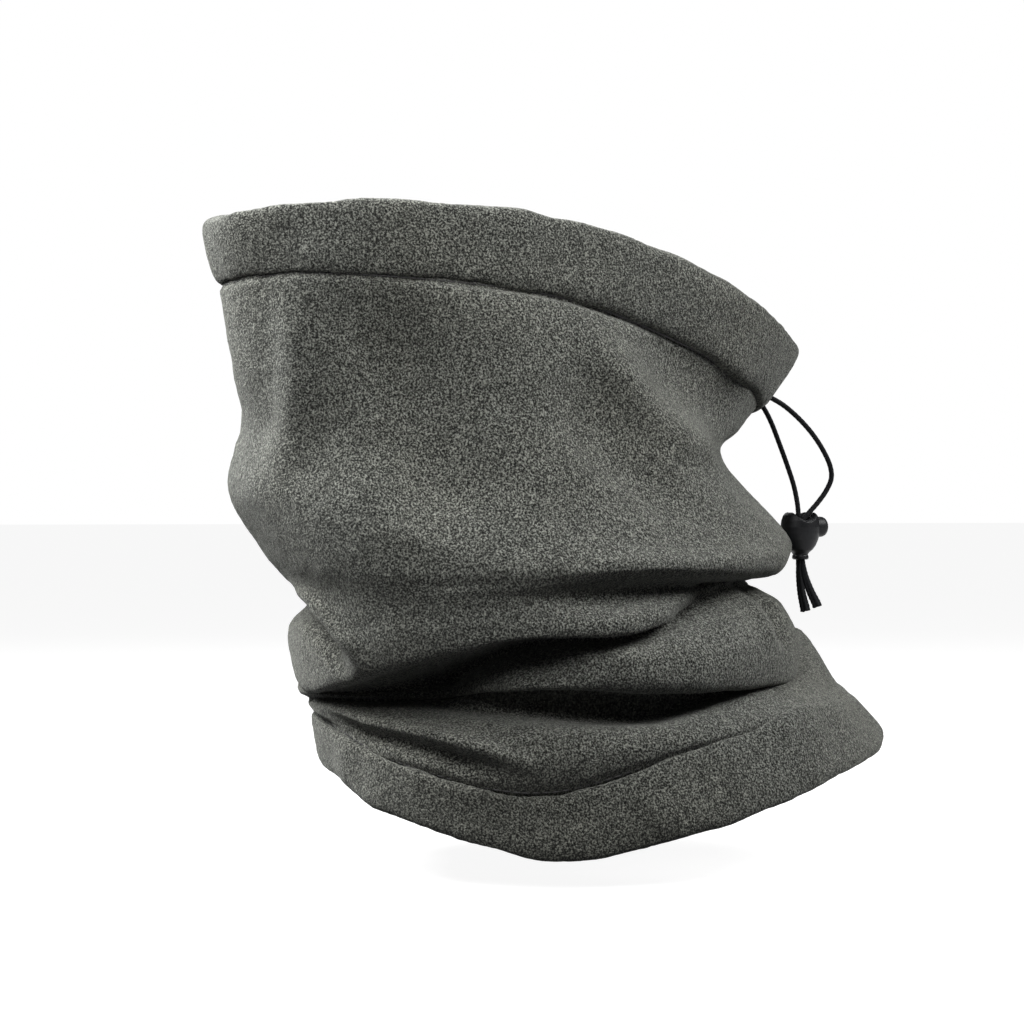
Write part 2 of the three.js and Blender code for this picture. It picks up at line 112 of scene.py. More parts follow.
BODY_RINGS = [
    TOP_STITCH,
    # cheek
    ring((122, 66, 75), (182, 184, 182, 177, 169, 162, 159, 162, 169, 177, 182, 183),
         (1, -2, -3, 2, -2, -2, 0, -2, -2, 2, -3, -7)),
    # waist
    ring((116, 72, 66), (159, 156, 153, 151, 150, 150, 149, 150, 150, 151, 153, 157),
         (1, -2, -2, 0, 3, -1, 0, -1, 3, 0, -2, -4)),
    # jaw
    ring((120, 83, 92), (134, 128, 123, 121, 121, 121, 120, 121, 122, 121, 124, 130)),
    # the main fold's lower side
    ring((110, 90, 91), (115, 110, 109, 111, 112, 113, 113, 113, 114, 114, 114, 113),
         (0, 3, 0, 0, 0, 0, 0, 0, 0, 0, 0, -5)),
    # its lowest line
    ring((102, 87, 86), (103, 101, 104, 107.5, 107, 107, 108, 107, 107, 107, 106, 101),
         (-1, 6, 3, 1, 0, 0, 0, 0, 0, 0, 0, -7)),
    # soft valley under it, which dies out towards the front
    ring((97, 83, 80), (93, 92, 98, 101, 104.5, 105, 105.5, 105, 104.5, 103, 102, 96),
         (1, 9, 5.5, -3, -5, -5, -4, -5, -5, -4, -2, -6)),
    # second roll
    ring((95, 89, 80), (80, 83, 90, 93, 103, 104, 104.5, 104, 103, 97, 93, 87),
         (2, 8, 3, 0, -9, -9, -6, -9, -8, 0, 1, 1)),
    # its lip
    ring((93, 88, 80), (66, 74, 85, 88, 101.5, 103, 103.5, 103, 101, 92, 86, 76),
         (2, 6, 3, 0, -9, -8, -5, -8, -6, 0, 1, 1)),
    # tucked under the lip
    ring((88, 83, 80), (66, 75, 87, 90, 100, 102, 102.5, 102, 99, 91, 85, 73),
         (2, -3, -5, -3, -5, -6, -4, -6, -4, -3, -4, 5)),
    # depth of the gap
    ring((88, 83, 81), (65, 71, 83, 86.5, 98, 100.5, 101, 100, 96, 89, 82, 71),
         (-1, -16, -13, -4, -3, -3, -3, -3, -1, -5, -9, 5)),
    # third roll, top
    ring((88, 85, 84), (64.5, 68, 80, 84, 93, 96, 97, 96, 91, 84, 78, 70),
         (-1, -16, -4, 0, 0, 2, -2, -1, 0, -4, -7, 4)),
    # third roll
    ring((90, 87, 89), (64, 66, 75, 78, 79, 82, 91, 89, 81, 77, 72, 66),
         (-1, -15, 0, 2.5, 3, 4, -6, -5, 0, -2, -6, 3)),
    # its lower edge
    ring((89, 86, 88), (63, 64, 68.5, 68, 67, 70, 88, 86, 74, 69, 66, 63),
         (-1, -17, -2, 1.5, 2, 3, -8, -6, 0, -2, -6, 3)),
    # crease under it
    ring((87, 80, 84), (62.5, 62.5, 67, 67, 68, 71, 86.5, 84, 74, 67, 64, 62),
         (-1, -18, -12, -8, -4, -5, -5, -3, -3, -4, -7, 4)),
    # fourth roll, back edge
    ring((87, 79, 88), (62, 61, 59, 57, 66, 72, 86, 84, 73, 62, 60, 61),
         (-1, -14, -13, -8, -3, 0, 12, 9, -2, -3, -4, 3)),
    # fourth roll, top
    ring((88, 84, 90), (60.5, 58.5, 55, 55, 65, 71, 84, 82, 71, 59, 57, 60),
         (0, -8, -3, 0, 0, 5, 17, 13, 2, 0, 0, 1)),
    # fourth roll
    ring((90, 89, 100), (57, 51, 46, 51, 61, 66, 74, 72, 65, 54, 52, 59),
         (0, 0, 0, 0, 0, 4, 12, 10, 3, 0, 0, -1)),
    BOTTOM_STITCH,
]

MEAN_RING = ring((104, 83, 84), EVEN)

# Folds pressed into the drape: how far each stands out (+) or sinks in (-), its width, the
# rings it lies between, its line as (degrees from the front, height), and whether the
# wearer's right side has it too. Each one fades at both ends.
def fold(lift, width, between, mirrored, *line):
    return {"lift": lift, "width": width, "between": between, "mirrored": mirrored, "line": line}


FOLDS = [
    # ridge beside the nose and the long hollow behind it
    fold(4.2, 11, (0, 4), True, (31, 208), (28, 190), (25, 172), (20, 156), (10, 142)),
    fold(-6.4, 19, (0, 5), True, (53, 206), (52, 182), (55, 160), (57, 140), (52, 118)),
    # cheek, the long ridge down to the nape bulge, and the hollows on both sides of it
    fold(1.8, 16, (0, 4), True, (54, 204), (71, 198), (84, 190)),
    fold(5.2, 8, (0, 5), True, (94, 193), (103, 177), (111, 166), (121, 157), (140, 148)),
    fold(-3.6, 12, (0, 4), True, (88, 182), (93, 163), (101, 146), (112, 131)),
    fold(-3.2, 12, (0, 3), True, (106, 194), (118, 182), (132, 172), (146, 165)),
    # front lip of the main fold, lying over the second roll
    fold(3.6, 4.0, (4, 8), False, (0, 102), (12, 98), (19, 91), (24, 83), (27, 75)),
    fold(-10, 5.0, (4, 8), False, (-24, 97), (-8, 97), (4, 95), (11, 90), (16, 84), (19, 77)),
    # hollow under that lip, where the third roll runs out
    fold(-13, 9, (9.5, 14), False, (22, 70), (36, 73), (50, 76.5), (62, 79), (76, 80)),
    # end of the second roll behind the ear
    fold(-3.6, 5.0, (5, 12), False, (100, 91), (108, 95), (114, 100), (117, 106)),
    fold(2.0, 4.5, (5, 12), False, (127, 106), (127, 98), (126, 88), (125, 80)),
    fold(-3.6, 5.5, (5, 12), False, (136, 105), (135, 97), (134, 88), (132, 78)),
    # small fold on the fourth roll, and the crease under its lip
    fold(5.0, 3.6, (15, 18), False,
         (-8, 64), (6, 60.5), (18, 57), (30, 55), (42, 52), (50, 48), (58, 43)),
    fold(-4.8, 3.8, (15, 18), False, (4, 57), (18, 51.5), (29, 49), (38, 46.5), (46, 43), (53, 40)),
]

# Free cord: the same routes as the CAD cords, mm.
STRAND_X = 1.35
LEFT_ROUTE = [
    (5.4, 89.7, 173.7), (5.6, 92.8, 172.3), (5.5, 97.6, 169.8), (5.2, 104.2, 165), (4.8, 110.4, 159.2),
    (4.2, 115.6, 152.8), (3.6, 119, 146.8), (3, 119.8, 142.2), (2.3, 118, 137.6), (1.7, 114.8, 133.2),
    (1.4, 111.6, 129.8), (STRAND_X, 109.4, 127.6), (STRAND_X, 108, 125.6), (STRAND_X, 107.8, 122),
    (STRAND_X, 107.8, 116), (1.4, 107.9, 111), (1.7, 108.8, 105), (2.2, 110.9, 99), (2.6, 113.8, 93.4),
]
RIGHT_ROUTE = [
    (-5.4, 89.7, 173.7), (-5.5, 92.5, 171.9), (-5.3, 95, 168.8), (-4.9, 97.8, 163.6), (-4.4, 100.8, 156.2),
    (-3.7, 104, 147.6), (-2.8, 106.4, 139.8), (-1.9, 107.4, 133.6), (-1.45, 107.7, 129.4),
    (-STRAND_X, 107.8, 125.6), (-STRAND_X, 107.8, 122), (-STRAND_X, 107.8, 116), (-1.4, 107.7, 111),
    (-1.6, 108.2, 105), (-2.1, 109.6, 98), (-2.6, 111.6, 91.5),
]

LEFT_NODES = ("drawcord_left_loop", "drawcord_left_end")
RIGHT_NODES = ("drawcord_right_loop", "drawcord_right_end")
TAIL = 17.0             # length of the flattened end of each strand, mm


# ---------------------------------------------------------------- numbers and noise
def around(values, turns):
    """A smooth closed line through one number per station."""
    values = np.asarray(values, float)
    count = len(values)
    at = (turns % 1.0) * count
    i = np.floor(at).astype(int)
    s = at - i
    a, b, c, d = (values[(i + k) % count] for k in (-1, 0, 1, 2))
    return b + 0.5 * s * (c - a + s * (2 * a - 5 * b + 4 * c - d + s * (3 * (b - c) + d - a)))


def scatter(cells, seed):
    """A repeatable number from -1 to 1 for each lattice cell."""
    mixed = (cells[:, 0] * 73856093) ^ (cells[:, 1] * 19349663) ^ (cells[:, 2] * 83492791)
    mixed = (mixed ^ (seed * 2654435761)) & 0xFFFFFFFF
    mixed = ((mixed ^ (mixed >> 15)) * 2246822519) & 0xFFFFFFFF
    mixed = ((mixed ^ (mixed >> 13)) * 3266489917) & 0xFFFFFFFF
    return (mixed ^ (mixed >> 16)) / 2147483647.5 - 1


def lumps(points, size, seed):
    """Smooth noise from -1 to 1 with lumps of about the given size."""
    flat = points.reshape(-1, 3) / size
    low = np.floor(flat).astype(np.int64)
    share = flat - low
    ease = share * share * (3 - 2 * share)
    total = np.zeros(len(flat))
    for corner in range(8):
        step = np.array([(corner >> k) & 1 for k in range(3)])
        weight = np.prod(np.where(step, ease, 1 - ease), axis=1)
        total += weight * scatter(low + step, seed)
    return total.reshape(points.shape[:-1])


def hermite(pins, slopes, i, width, s):
    """Points on the smooth curve from pin i to the next, at shares s of a knot gap of that width."""
    return (
        pins[i] * (1 + 2 * s) * (1 - s) ** 2
        + pins[i + 1] * s * s * (3 - 2 * s)
        + slopes[i] * width * s * (1 - s) ** 2
        - slopes[i + 1] * width * s * s * (1 - s)
    )


def run_along(line):
    """The distance along a line of points, at each point."""
    return np.concatenate([[0], np.cumsum(np.linalg.norm(np.diff(line, axis=0), axis=1))])


# ---------------------------------------------------------------- surfaces
def ring_points(one, turns, out=0.0):
    """Points of a ring at turns from 0 to 1, let out by `out` mm."""
    front, side, back = one["reach"]
    angle = turns * 2 * np.pi
    half = (back + front) / 2
    x = side * np.sin(angle)
    y = -half * np.cos(angle)
    normal = np.stack([x / side**2, y / half**2], -1)
    normal /= np.linalg.norm(normal, axis=-1, keepdims=True)
    move = around(one["push"], turns) + out
    height = around(one["height"], turns)
    return np.stack([x + move * normal[..., 0], (back - front) / 2 + y + move * normal[..., 1], height], -1)


def turns_of(count):
    return np.arange(count) / count


def outward(turns):
    """The level direction straight out of the drape at each station."""
    return ring_points(MEAN_RING, turns, 1) - ring_points(MEAN_RING, turns, 0)


def loft(rings, turns, share):
    """A smooth surface through rings, and the ring number of each of its rows.

    share runs from 0 to 1 along the mean length.
    """
    pins = np.stack([ring_points(one, turns) for one in rings])
    gaps = np.linalg.norm(np.diff(pins, axis=0), axis=-1).mean(axis=1)
    knots = np.concatenate([[0], np.cumsum(np.sqrt(gaps))])
    lengths = np.concatenate([[0], np.cumsum(gaps)])
    at = np.interp(share * lengths[-1], lengths, knots)
    slopes = np.empty_like(pins)
    steps = np.diff(knots)[:, None, None]
    rates = np.diff(pins, axis=0) / steps
    slopes[0], slopes[-1] = rates[0], rates[-1]
    slopes[1:-1] = (rates[:-1] * steps[1:] + rates[1:] * steps[:-1]) / (steps[1:] + steps[:-1])
    i = np.clip(np.searchsorted(knots, at, side="right") - 1, 0, len(rings) - 2)
    width = (knots[i + 1] - knots[i])[:, None, None]
    s = ((at - knots[i]) / (knots[i + 1] - knots[i]))[:, None, None]
    return hermite(pins, slopes, i, width, s), i + s[:, 0, 0]


def normals_of(grid, closed_rows=False):
    """Unit normals of a grid of rows down and columns round, pointing out of the tube."""
    across = np.roll(grid, -1, axis=1) - np.roll(grid, 1, axis=1)
    if closed_rows:
        down = np.roll(grid, -1, axis=0) - np.roll(grid, 1, axis=0)
    else:
        down = np.gradient(grid, axis=0)
    normal = np.cross(down, across)
    normal /= np.maximum(np.linalg.norm(normal, axis=-1, keepdims=True), 1e-9)
    return normal


def mesh_of(name, points, faces):
    """A smooth-shaded object from points in mm and a face array."""
    mesh = bpy.data.meshes.new(name)
    faces = np.asarray(faces)
    corners = faces.shape[1]
    mesh.vertices.add(len(points))
    mesh.vertices.foreach_set("co", (np.asarray(points) * MM).astype(np.float32).ravel())
    mesh.loops.add(faces.size)
    mesh.loops.foreach_set("vertex_index", faces.astype(np.int32).ravel())
    mesh.polygons.add(len(faces))
    mesh.polygons.foreach_set("loop_start", (np.arange(len(faces)) * corners).astype(np.int32))
    mesh.update(calc_edges=True)
    mesh.validate()
    mesh.polygons.foreach_set("use_smooth", np.ones(len(mesh.polygons), bool))
    thing = bpy.data.objects.new(name, mesh)
    bpy.context.scene.collection.objects.link(thing)
    return thing


def turned_out(thing):
    """Makes the faces point outwards."""
    work = bmesh.new()
    work.from_mesh(thing.data)
    bmesh.ops.recalc_face_normals(work, faces=work.faces)
    work.to_mesh(thing.data)
    work.free()
    return thing


def quads_of(rows, columns, closed_rows=False):
    """The faces of a grid whose columns close on themselves, and its rows too if asked."""
    r = np.arange(rows if closed_rows else rows - 1)[:, None]
    c = np.arange(columns)[None, :]
    r2, c2 = (r + 1) % rows, (c + 1) % columns
    quads = [r * columns + c, r2 * columns + c, r2 * columns + c2, r * columns + c2]
    return np.stack(np.broadcast_arrays(*quads), -1).reshape(-1, 4)


def band(name, grid):
    """A closed band from a grid whose rows and columns both close on themselves."""
    return turned_out(mesh_of(name, grid.reshape(-1, 3), quads_of(*grid.shape[:2], closed_rows=True)))


def capped(name, grid, ends=None):
    """A closed body from rings of points, capped round the end points, or round the rings' middles."""
    rows, sides = grid.shape[:2]
    if ends is None:
        ends = np.stack([grid[0].mean(axis=0), grid[-1].mean(axis=0)])
    thing = mesh_of(name, np.concatenate([grid.reshape(-1, 3), ends]), quads_of(rows, sides))
    work = bmesh.new()
    work.from_mesh(thing.data)
    work.verts.ensure_lookup_table()
    corners = work.verts
    last = (rows - 1) * sides
    start, end = corners[rows * sides], corners[rows * sides + 1]
    for k in range(sides):
        n = (k + 1) % sides
        work.faces.new([start, corners[n], corners[k]])
        work.faces.new([end, corners[last + k], corners[last + n]])
    bmesh.ops.recalc_face_normals(work, faces=work.faces)
    for face in work.faces:
        face.smooth = True
    work.to_mesh(thing.data)
    work.free()
    return thing


# ---------------------------------------------------------------- fabric
def stitch_pull(turns, seed):
    """How the stitches pull the fabric in along a seam: fine puckers and slower waves."""
    fine = np.abs(np.sin(np.pi * turns * PUCKERS))
    wander = np.stack([np.cos(turns * 2 * np.pi), np.sin(turns * 2 * np.pi), 0 * turns], -1) * 80
    return 0.35 * fine + 0.55 * lumps(wander, 7.0, seed) + 0.4 * lumps(wander, 16.0, seed + 1)


def back_seam(turns):
    """The groove of the seam down the wearer's back, mm."""
    across = (turns - 0.5) * 360 * MM_PER_DEGREE
    return SEAM_GROOVE * np.exp(-((across / 1.5) ** 2))


def fold_lift(base, turns, ring_number):
    """How far the pressed folds move each point of the drape, mm."""
    degrees = (turns * 360 + 180) % 360 - 180
    total = np.zeros(base.shape[:2])
    for one in FOLDS:
        low, high = one["between"]
        rows = np.clip(np.minimum(ring_number - low, high - ring_number) / 0.4 + 0.5, 0, 1)[:, None]
        for side in (1, -1) if one["mirrored"] else (1,):
            across = side * degrees[None, :] * MM_PER_DEGREE + 0 * base[..., 2]
            spot = np.stack([across, base[..., 2]], -1)
            line = np.array(one["line"], float) * (MM_PER_DEGREE, 1)
            run = run_along(line)
            near = np.full(across.shape, 1e9)
            place = np.zeros(across.shape)
            for k in range(len(line) - 1):
                step = line[k + 1] - line[k]
                share = np.clip((spot - line[k]) @ step / (step @ step), 0, 1)
                away = np.linalg.norm(spot - line[k] - share[..., None] * step, axis=-1)
                closer = away < near
                place = np.where(closer, run[k] + share * (run[k + 1] - run[k]), place)
                near = np.minimum(near, away)
            ends = np.minimum(place, run[-1] - place) / (0.22 * run[-1])
            fade = 0.25 + 0.75 * np.clip(ends, 0, 1)
            total += one["lift"] * rows * fade * np.exp(-((near / one["width"]) ** 2))
    return total


def tuck(edge, stitch, turns):
    """The body's edge where it is sewn in between the layers of a hem."""
    inside = ring_points(stitch, turns, -HEM_INSET)
    towards = ring_points(edge, turns, -HEM_INSET) - inside
    towards /= np.linalg.norm(towards, axis=-1, keepdims=True)
    return (inside + towards * TUCK)[None]


def fleece_body():
    """The tube between the two stitch lines: an outer skin with all its folds, and an inner one."""
    columns, outer_rows, inner_rows = 340, 222, 66
    turns = turns_of(columns)
    base, ring_number = loft(BODY_RINGS, turns, np.linspace(0, 1, outer_rows))
    top = np.linalg.norm(base - base[:1], axis=-1)
    foot = np.linalg.norm(base - base[-1:], axis=-1)
    pressed = fold_lift(base, turns, ring_number)
    base = base + outward(turns) * pressed[..., None]
    normal = normals_of(base)
    lift = 0.7 * lumps(base, 40.0, 3) + 0.6 * lumps(base, 17.0, 4) + 0.3 * lumps(base, 8.0, 5)
    lift *= np.clip(np.minimum(top, foot) / 25, 0.15, 1)
    lift -= GROOVE * (np.exp(-((top / 1.4) ** 2)) + 0.65 * np.exp(-((foot / 1.5) ** 2)))
    lift -= 0.9 * stitch_pull(turns, 11)[None, :] * np.exp(-top / 6)
    lift -= 0.6 * stitch_pull(turns, 21)[None, :] * np.exp(-foot / 6)
    lift += 0.13 * lumps(base, 2.6, 6) + 0.1 * lumps(base, 1.4, 7)
    lift -= back_seam(turns)[None, :]
    outer = base + normal * lift[..., None]
    inner_base, ring_number = loft(BODY_RINGS, turns, np.linspace(0, 1, inner_rows))
    pressed = fold_lift(inner_base, turns, ring_number)
    inner_base = inner_base + outward(turns) * pressed[..., None]
    inner = inner_base - normals_of(inner_base) * FLEECE
    upper = tuck(TOP_EDGE, TOP_STITCH, turns)
    lower = tuck(BOTTOM_EDGE, BOTTOM_STITCH, turns)
    return band("fleece_tube", np.concatenate([upper, outer, lower, inner[::-1]]))


def hem(name, edge, stitch, seed):
    """A folded hem from its free edge to its stitch line, puffed between."""
    columns, rows = 600, 84
    turns = turns_of(columns)
    angle = np.linspace(0, 2 * np.pi, rows, endpoint=False)
    side = np.sign(np.sin(angle)) * np.abs(np.sin(angle)) ** 0.55
    along = 0.5 + 0.5 * np.sign(np.cos(angle)) * np.abs(np.cos(angle)) ** 0.45
    upper = ring_points(edge, turns, -HEM_INSET)
    lower = ring_points(stitch, turns, -HEM_INSET)
    middle = upper[None] * (1 - along)[:, None, None] + lower[None] * along[:, None, None]
    out = ring_points(edge, turns, 1) - ring_points(edge, turns, 0)
    down = lower - upper
    down /= np.linalg.norm(down, axis=-1, keepdims=True)
    out -= down * np.sum(out * down, axis=-1, keepdims=True)
    out /= np.linalg.norm(out, axis=-1, keepdims=True)
    grid = middle + out[None] * (HEM_HALF * side)[:, None, None]
    normal = normals_of(grid, closed_rows=True)
    facing = np.sign(np.sum(normal * out[None] * side[:, None, None], axis=-1).mean())
    normal *= facing
    from_stitch = np.linalg.norm(grid - lower[None], axis=-1)
    lift = 1.2 * lumps(grid, 30.0, seed) + 1.0 * lumps(grid, 13.0, seed + 1)
    lift += 0.13 * lumps(grid, 2.6, seed + 2) + 0.1 * lumps(grid, 1.4, seed + 3)
    lift -= 0.6 * back_seam(turns)[None, :]
    lift -= 0.9 * stitch_pull(turns, seed + 10)[None, :] * np.exp(-from_stitch / 7)
    return band(name, grid + normal * lift[..., None])


# ---------------------------------------------------------------- cords
def smooth_route(route, step):
    """Points in mm along a smooth line through a route, about `step` apart."""
    pins = np.array(route, float)
    gaps = np.linalg.norm(np.diff(pins, axis=0), axis=1)
    knots = np.concatenate([[0], np.cumsum(np.sqrt(gaps))])
    rates = np.diff(pins, axis=0) / np.diff(knots)[:, None]
    slopes = np.vstack([rates[:1], (rates[:-1] + rates[1:]) / 2, rates[-1:]])
    fine = np.linspace(0, knots[-1], 60 * len(pins))
    i = np.clip(np.searchsorted(knots, fine, side="right") - 1, 0, len(pins) - 2)
    width = (knots[i + 1] - knots[i])[:, None]
    s = ((fine - knots[i]) / (knots[i + 1] - knots[i]))[:, None]
    line = hermite(pins, slopes, i, width, s)
    run = run_along(line)
    stops = np.linspace(0, run[-1], max(2, int(run[-1] / step)))
    return np.stack([np.interp(stops, run, line[:, k]) for k in range(3)], -1)


def tube_frames(line):
    """Two directions square to the line at each point, carried along without twist."""
    tangent = np.gradient(line, axis=0)
    tangent /= np.linalg.norm(tangent, axis=1, keepdims=True)
    first = np.cross(tangent[0], (1.0, 0.3, 0.2))
    first /= np.linalg.norm(first)
    firsts = []
    for direction in tangent:
        first = first - direction * np.dot(first, direction)
        first = first / np.linalg.norm(first)
        firsts.append(first)
    firsts = np.array(firsts)
    return firsts, np.cross(tangent, firsts)


def tube(name, line, radius, sides=24, braid=0.0, pitch=4.2, carriers=8):
    """A closed tube along a line of points. braid is the depth of its plaited relief, mm."""
    firsts, seconds = tube_frames(line)
    run = run_along(line)
    angle = np.arange(sides) / sides * 2 * np.pi
    plait = np.sin(carriers / 2 * angle[None, :] + 2 * np.pi * run[:, None] / pitch)
    plait = plait * np.sin(carriers / 2 * angle[None, :] - 2 * np.pi * run[:, None] / pitch)
    size = radius + braid * plait
    spoke = np.cos(angle)[None, :, None] * firsts[:, None] + np.sin(angle)[None, :, None] * seconds[:, None]
    grid = line[:, None] + size[..., None] * spoke
    return capped(name, grid, line[[0, -1]])


def strand(name, route, *nodes):
    """One free strand, from its hole through the lock to its tip."""
    line = smooth_route(route, 0.35)
    thing = tube(name, line, CORD / 2 - 0.03, braid=0.05)
    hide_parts(*nodes)
    length = np.linalg.norm(np.diff(line, axis=0), axis=1).sum()
    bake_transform(thing)
    return thing, line, length


def tail_end(name, line, length):
    """The last stretch of a strand, pressed flat and sealed, with a ragged tip."""
    run = run_along(line)
    last = line[run > run[-1] - length]
    share = np.linspace(0, 1, len(last))
    thing = tube(name, last, 1.04 * CORD / 2, sides=40, braid=0.07, pitch=3.4)
    mesh = thing.data
    points = np.empty(3 * len(mesh.vertices), np.float32)
    mesh.vertices.foreach_get("co", points)
    points = points.reshape(-1, 3) / MM
    which = np.argmin(np.linalg.norm(points[:, None] - last[None], axis=-1), axis=1)
    press = share[which] ** 0.8
    off = points - last[which]
    points[:, 0] -= off[:, 0] * 0.42 * press
    points[:, 1] += off[:, 1] * 1.15 * press
    tip = np.clip((share[which] - 0.93) / 0.07, 0, 1)
    points[:, 2] -= tip * 0.9 * (0.5 + 0.5 * lumps(points, 0.7, 77))
    mesh.vertices.foreach_set("co", (points * MM).astype(np.float32).ravel())
    mesh.update()
    return thing


# ---------------------------------------------------------------- stitches
def stitch_row(name, one, seed):
    """A row of small lockstitches lying deep in its groove."""
    steps, sides = 8, 8
    turns = turns_of(STITCHES * steps)
    phase = (np.arange(STITCHES * steps) % steps) / steps
    arch = np.sin(np.pi * phase) ** 0.6
    wander = 0.18 * lumps(ring_points(one, turns, 0), 3.0, seed)
    middle = ring_points(one, turns, 0) + outward(turns) * (wander - GROOVE - 0.25 + 0.55 * arch)[:, None]
    along = np.roll(middle, -1, axis=0) - np.roll(middle, 1, axis=0)
    along /= np.linalg.norm(along, axis=1, keepdims=True)
    out = outward(turns)
    out /= np.linalg.norm(out, axis=1, keepdims=True)
    across = np.cross(along, out)
    angle = np.arange(sides) / sides * 2 * np.pi
    size = 0.17 + 0.13 * arch
    spoke = np.cos(angle)[:, None, None] * out + np.sin(angle)[:, None, None] * across
    return band(name, middle[None] + spoke * size[None, :, None])


def exit_frame(line):
    """Where a strand leaves its hole, the way out, and two directions across the hole, mm."""
    way = line[0] - line[6]
    way = -way / np.linalg.norm(way)
    first = np.cross(way, (0.0, 0.0, 1.0))
    first /= np.linalg.norm(first)
    return way, first, np.cross(way, first)


def eyelet(name, line):
    """A cord hole bound with satin stitches."""
    way, first, second = exit_frame(line)
    threads, steps, sides = 26, 6, 14
    turn = np.arange(threads * steps) / (threads * steps) * 2 * np.pi
    ridge = np.abs(np.sin(turn * threads / 2)) ** 0.5
    spoke = np.cos(turn)[:, None] * first + np.sin(turn)[:, None] * second
    angle = np.arange(sides) / sides * 2 * np.pi
    wide = HOLE + 0.45 + (0.42 + 0.16 * ridge)[None] * np.cos(angle)[:, None] * 1.35
    deep = (0.42 + 0.16 * ridge)[None] * np.sin(angle)[:, None]
    centre = line[0] - way * 0.35
    return band(name, centre + spoke[None] * wide[..., None] + way * deep[..., None])


def seam_path(rows):
    """The inside of the body down the middle of the back, mm."""
    turns = np.array([0.5])
    share = np.linspace(0.03, 0.97, rows)
    base, _ = loft(BODY_RINGS, turns, share)
    return base[:, 0]


def seam_strip(name):
    """The two trimmed allowances of the back seam, lying together against the inside."""
    rows, sides = 300, 36
    path = seam_path(rows)
    forward = np.array([0.0, -1.0, 0.0])
    angle = np.arange(sides) / sides * 2 * np.pi
    x = np.sign(np.cos(angle)) * np.abs(np.cos(angle)) ** 0.35 * SEAM_WIDTH / 2
    y = np.sign(np.sin(angle)) * np.abs(np.sin(angle)) ** 0.5 * FLEECE / 2
    level = path + forward * (FLEECE + SEAM_CLEAR + FLEECE / 2)
    wave = 0.2 * np.sin(np.arange(rows) * 0.45)
    grid = level[:, None] + x[None, :, None] * np.array([1.0, 0, 0])
    grid[..., 0] += wave[:, None] * np.sign(x)
    grid += y[None, :, None] * forward
    grid += 0.25 * lumps(grid, 3.0, 91)[..., None] * forward
    grid[..., 0] += 0.3 * lumps(grid, 4.0, 92)
    return capped(name, grid)


def overlock(name, side):
    """The thread that binds one edge of the seam allowance."""
    loops = 78
    path = seam_path(loops * 4)
    reach = SEAM_WIDTH / 2 + np.tile([-3.2, -0.8, 0.35, -0.8], loops)
    depth = FLEECE + SEAM_CLEAR + np.tile([FLEECE + 0.2, FLEECE + 0.25, FLEECE / 2, FLEECE + 0.25], loops)
    route = path.copy()
    route[:, 0] = side * reach
    route[:, 1] -= depth
    return tube(name, smooth_route(route, 0.5), 0.22, sides=8)


# ---------------------------------------------------------------- cord lock
def lathe(name, outline, segments=96):
    """A closed body of revolution about Z, from (radius, height) pairs in mm that meet the axis."""
    outline = np.array(outline, float)
    angle = (np.arange(segments) + 0.37) / segments * 2 * np.pi
    rim = outline[1:-1]
    x = rim[:, :1] * np.cos(angle)
    y = rim[:, :1] * np.sin(angle)
    grid = np.stack([x, y, np.broadcast_to(rim[:, 1:], x.shape)], -1)
    return capped(name, grid)


def placed(thing, turn=(0, 0, 0), scale=(1, 1, 1), move=(0, 0, 0)):
    """Turns (degrees), scales and moves (mm) a mesh in place."""
    spin = Euler([math.radians(v) for v in turn]).to_matrix().to_4x4()
    thing.data.transform(Matrix.Translation(Vector(move) * MM) @ spin @ Matrix.Diagonal((*scale, 1)))
    return thing


def cut(thing, *tools):
    """Takes each tool out of a body."""
    for tool in tools:
        step = thing.modifiers.new("cut", "BOOLEAN")
        step.operation = "DIFFERENCE"
        step.solver = "EXACT"
        step.object = tool
    return settled(thing, tools)


def settled(thing, spent=()):
    """Applies a body's modifiers and drops the tools they used."""
    graph = bpy.context.evaluated_depsgraph_get()
    mesh = bpy.data.meshes.new_from_object(thing.evaluated_get(graph))
    thing.modifiers.clear()
    thing.data = mesh
    for tool in spent:
        bpy.data.objects.remove(tool)
    mesh.polygons.foreach_set("use_smooth", np.ones(len(mesh.polygons), bool))
    return thing


def moulded(thing, grain, rounds):
    """Rounds every edge a little, as a moulding has them."""
    remesh = thing.modifiers.new("remesh", "REMESH")
    remesh.mode = "VOXEL"
    remesh.voxel_size = grain * MM
    smooth = thing.modifiers.new("smooth", "SMOOTH")
    smooth.factor = 0.5
    smooth.iterations = rounds
    return settled(thing)


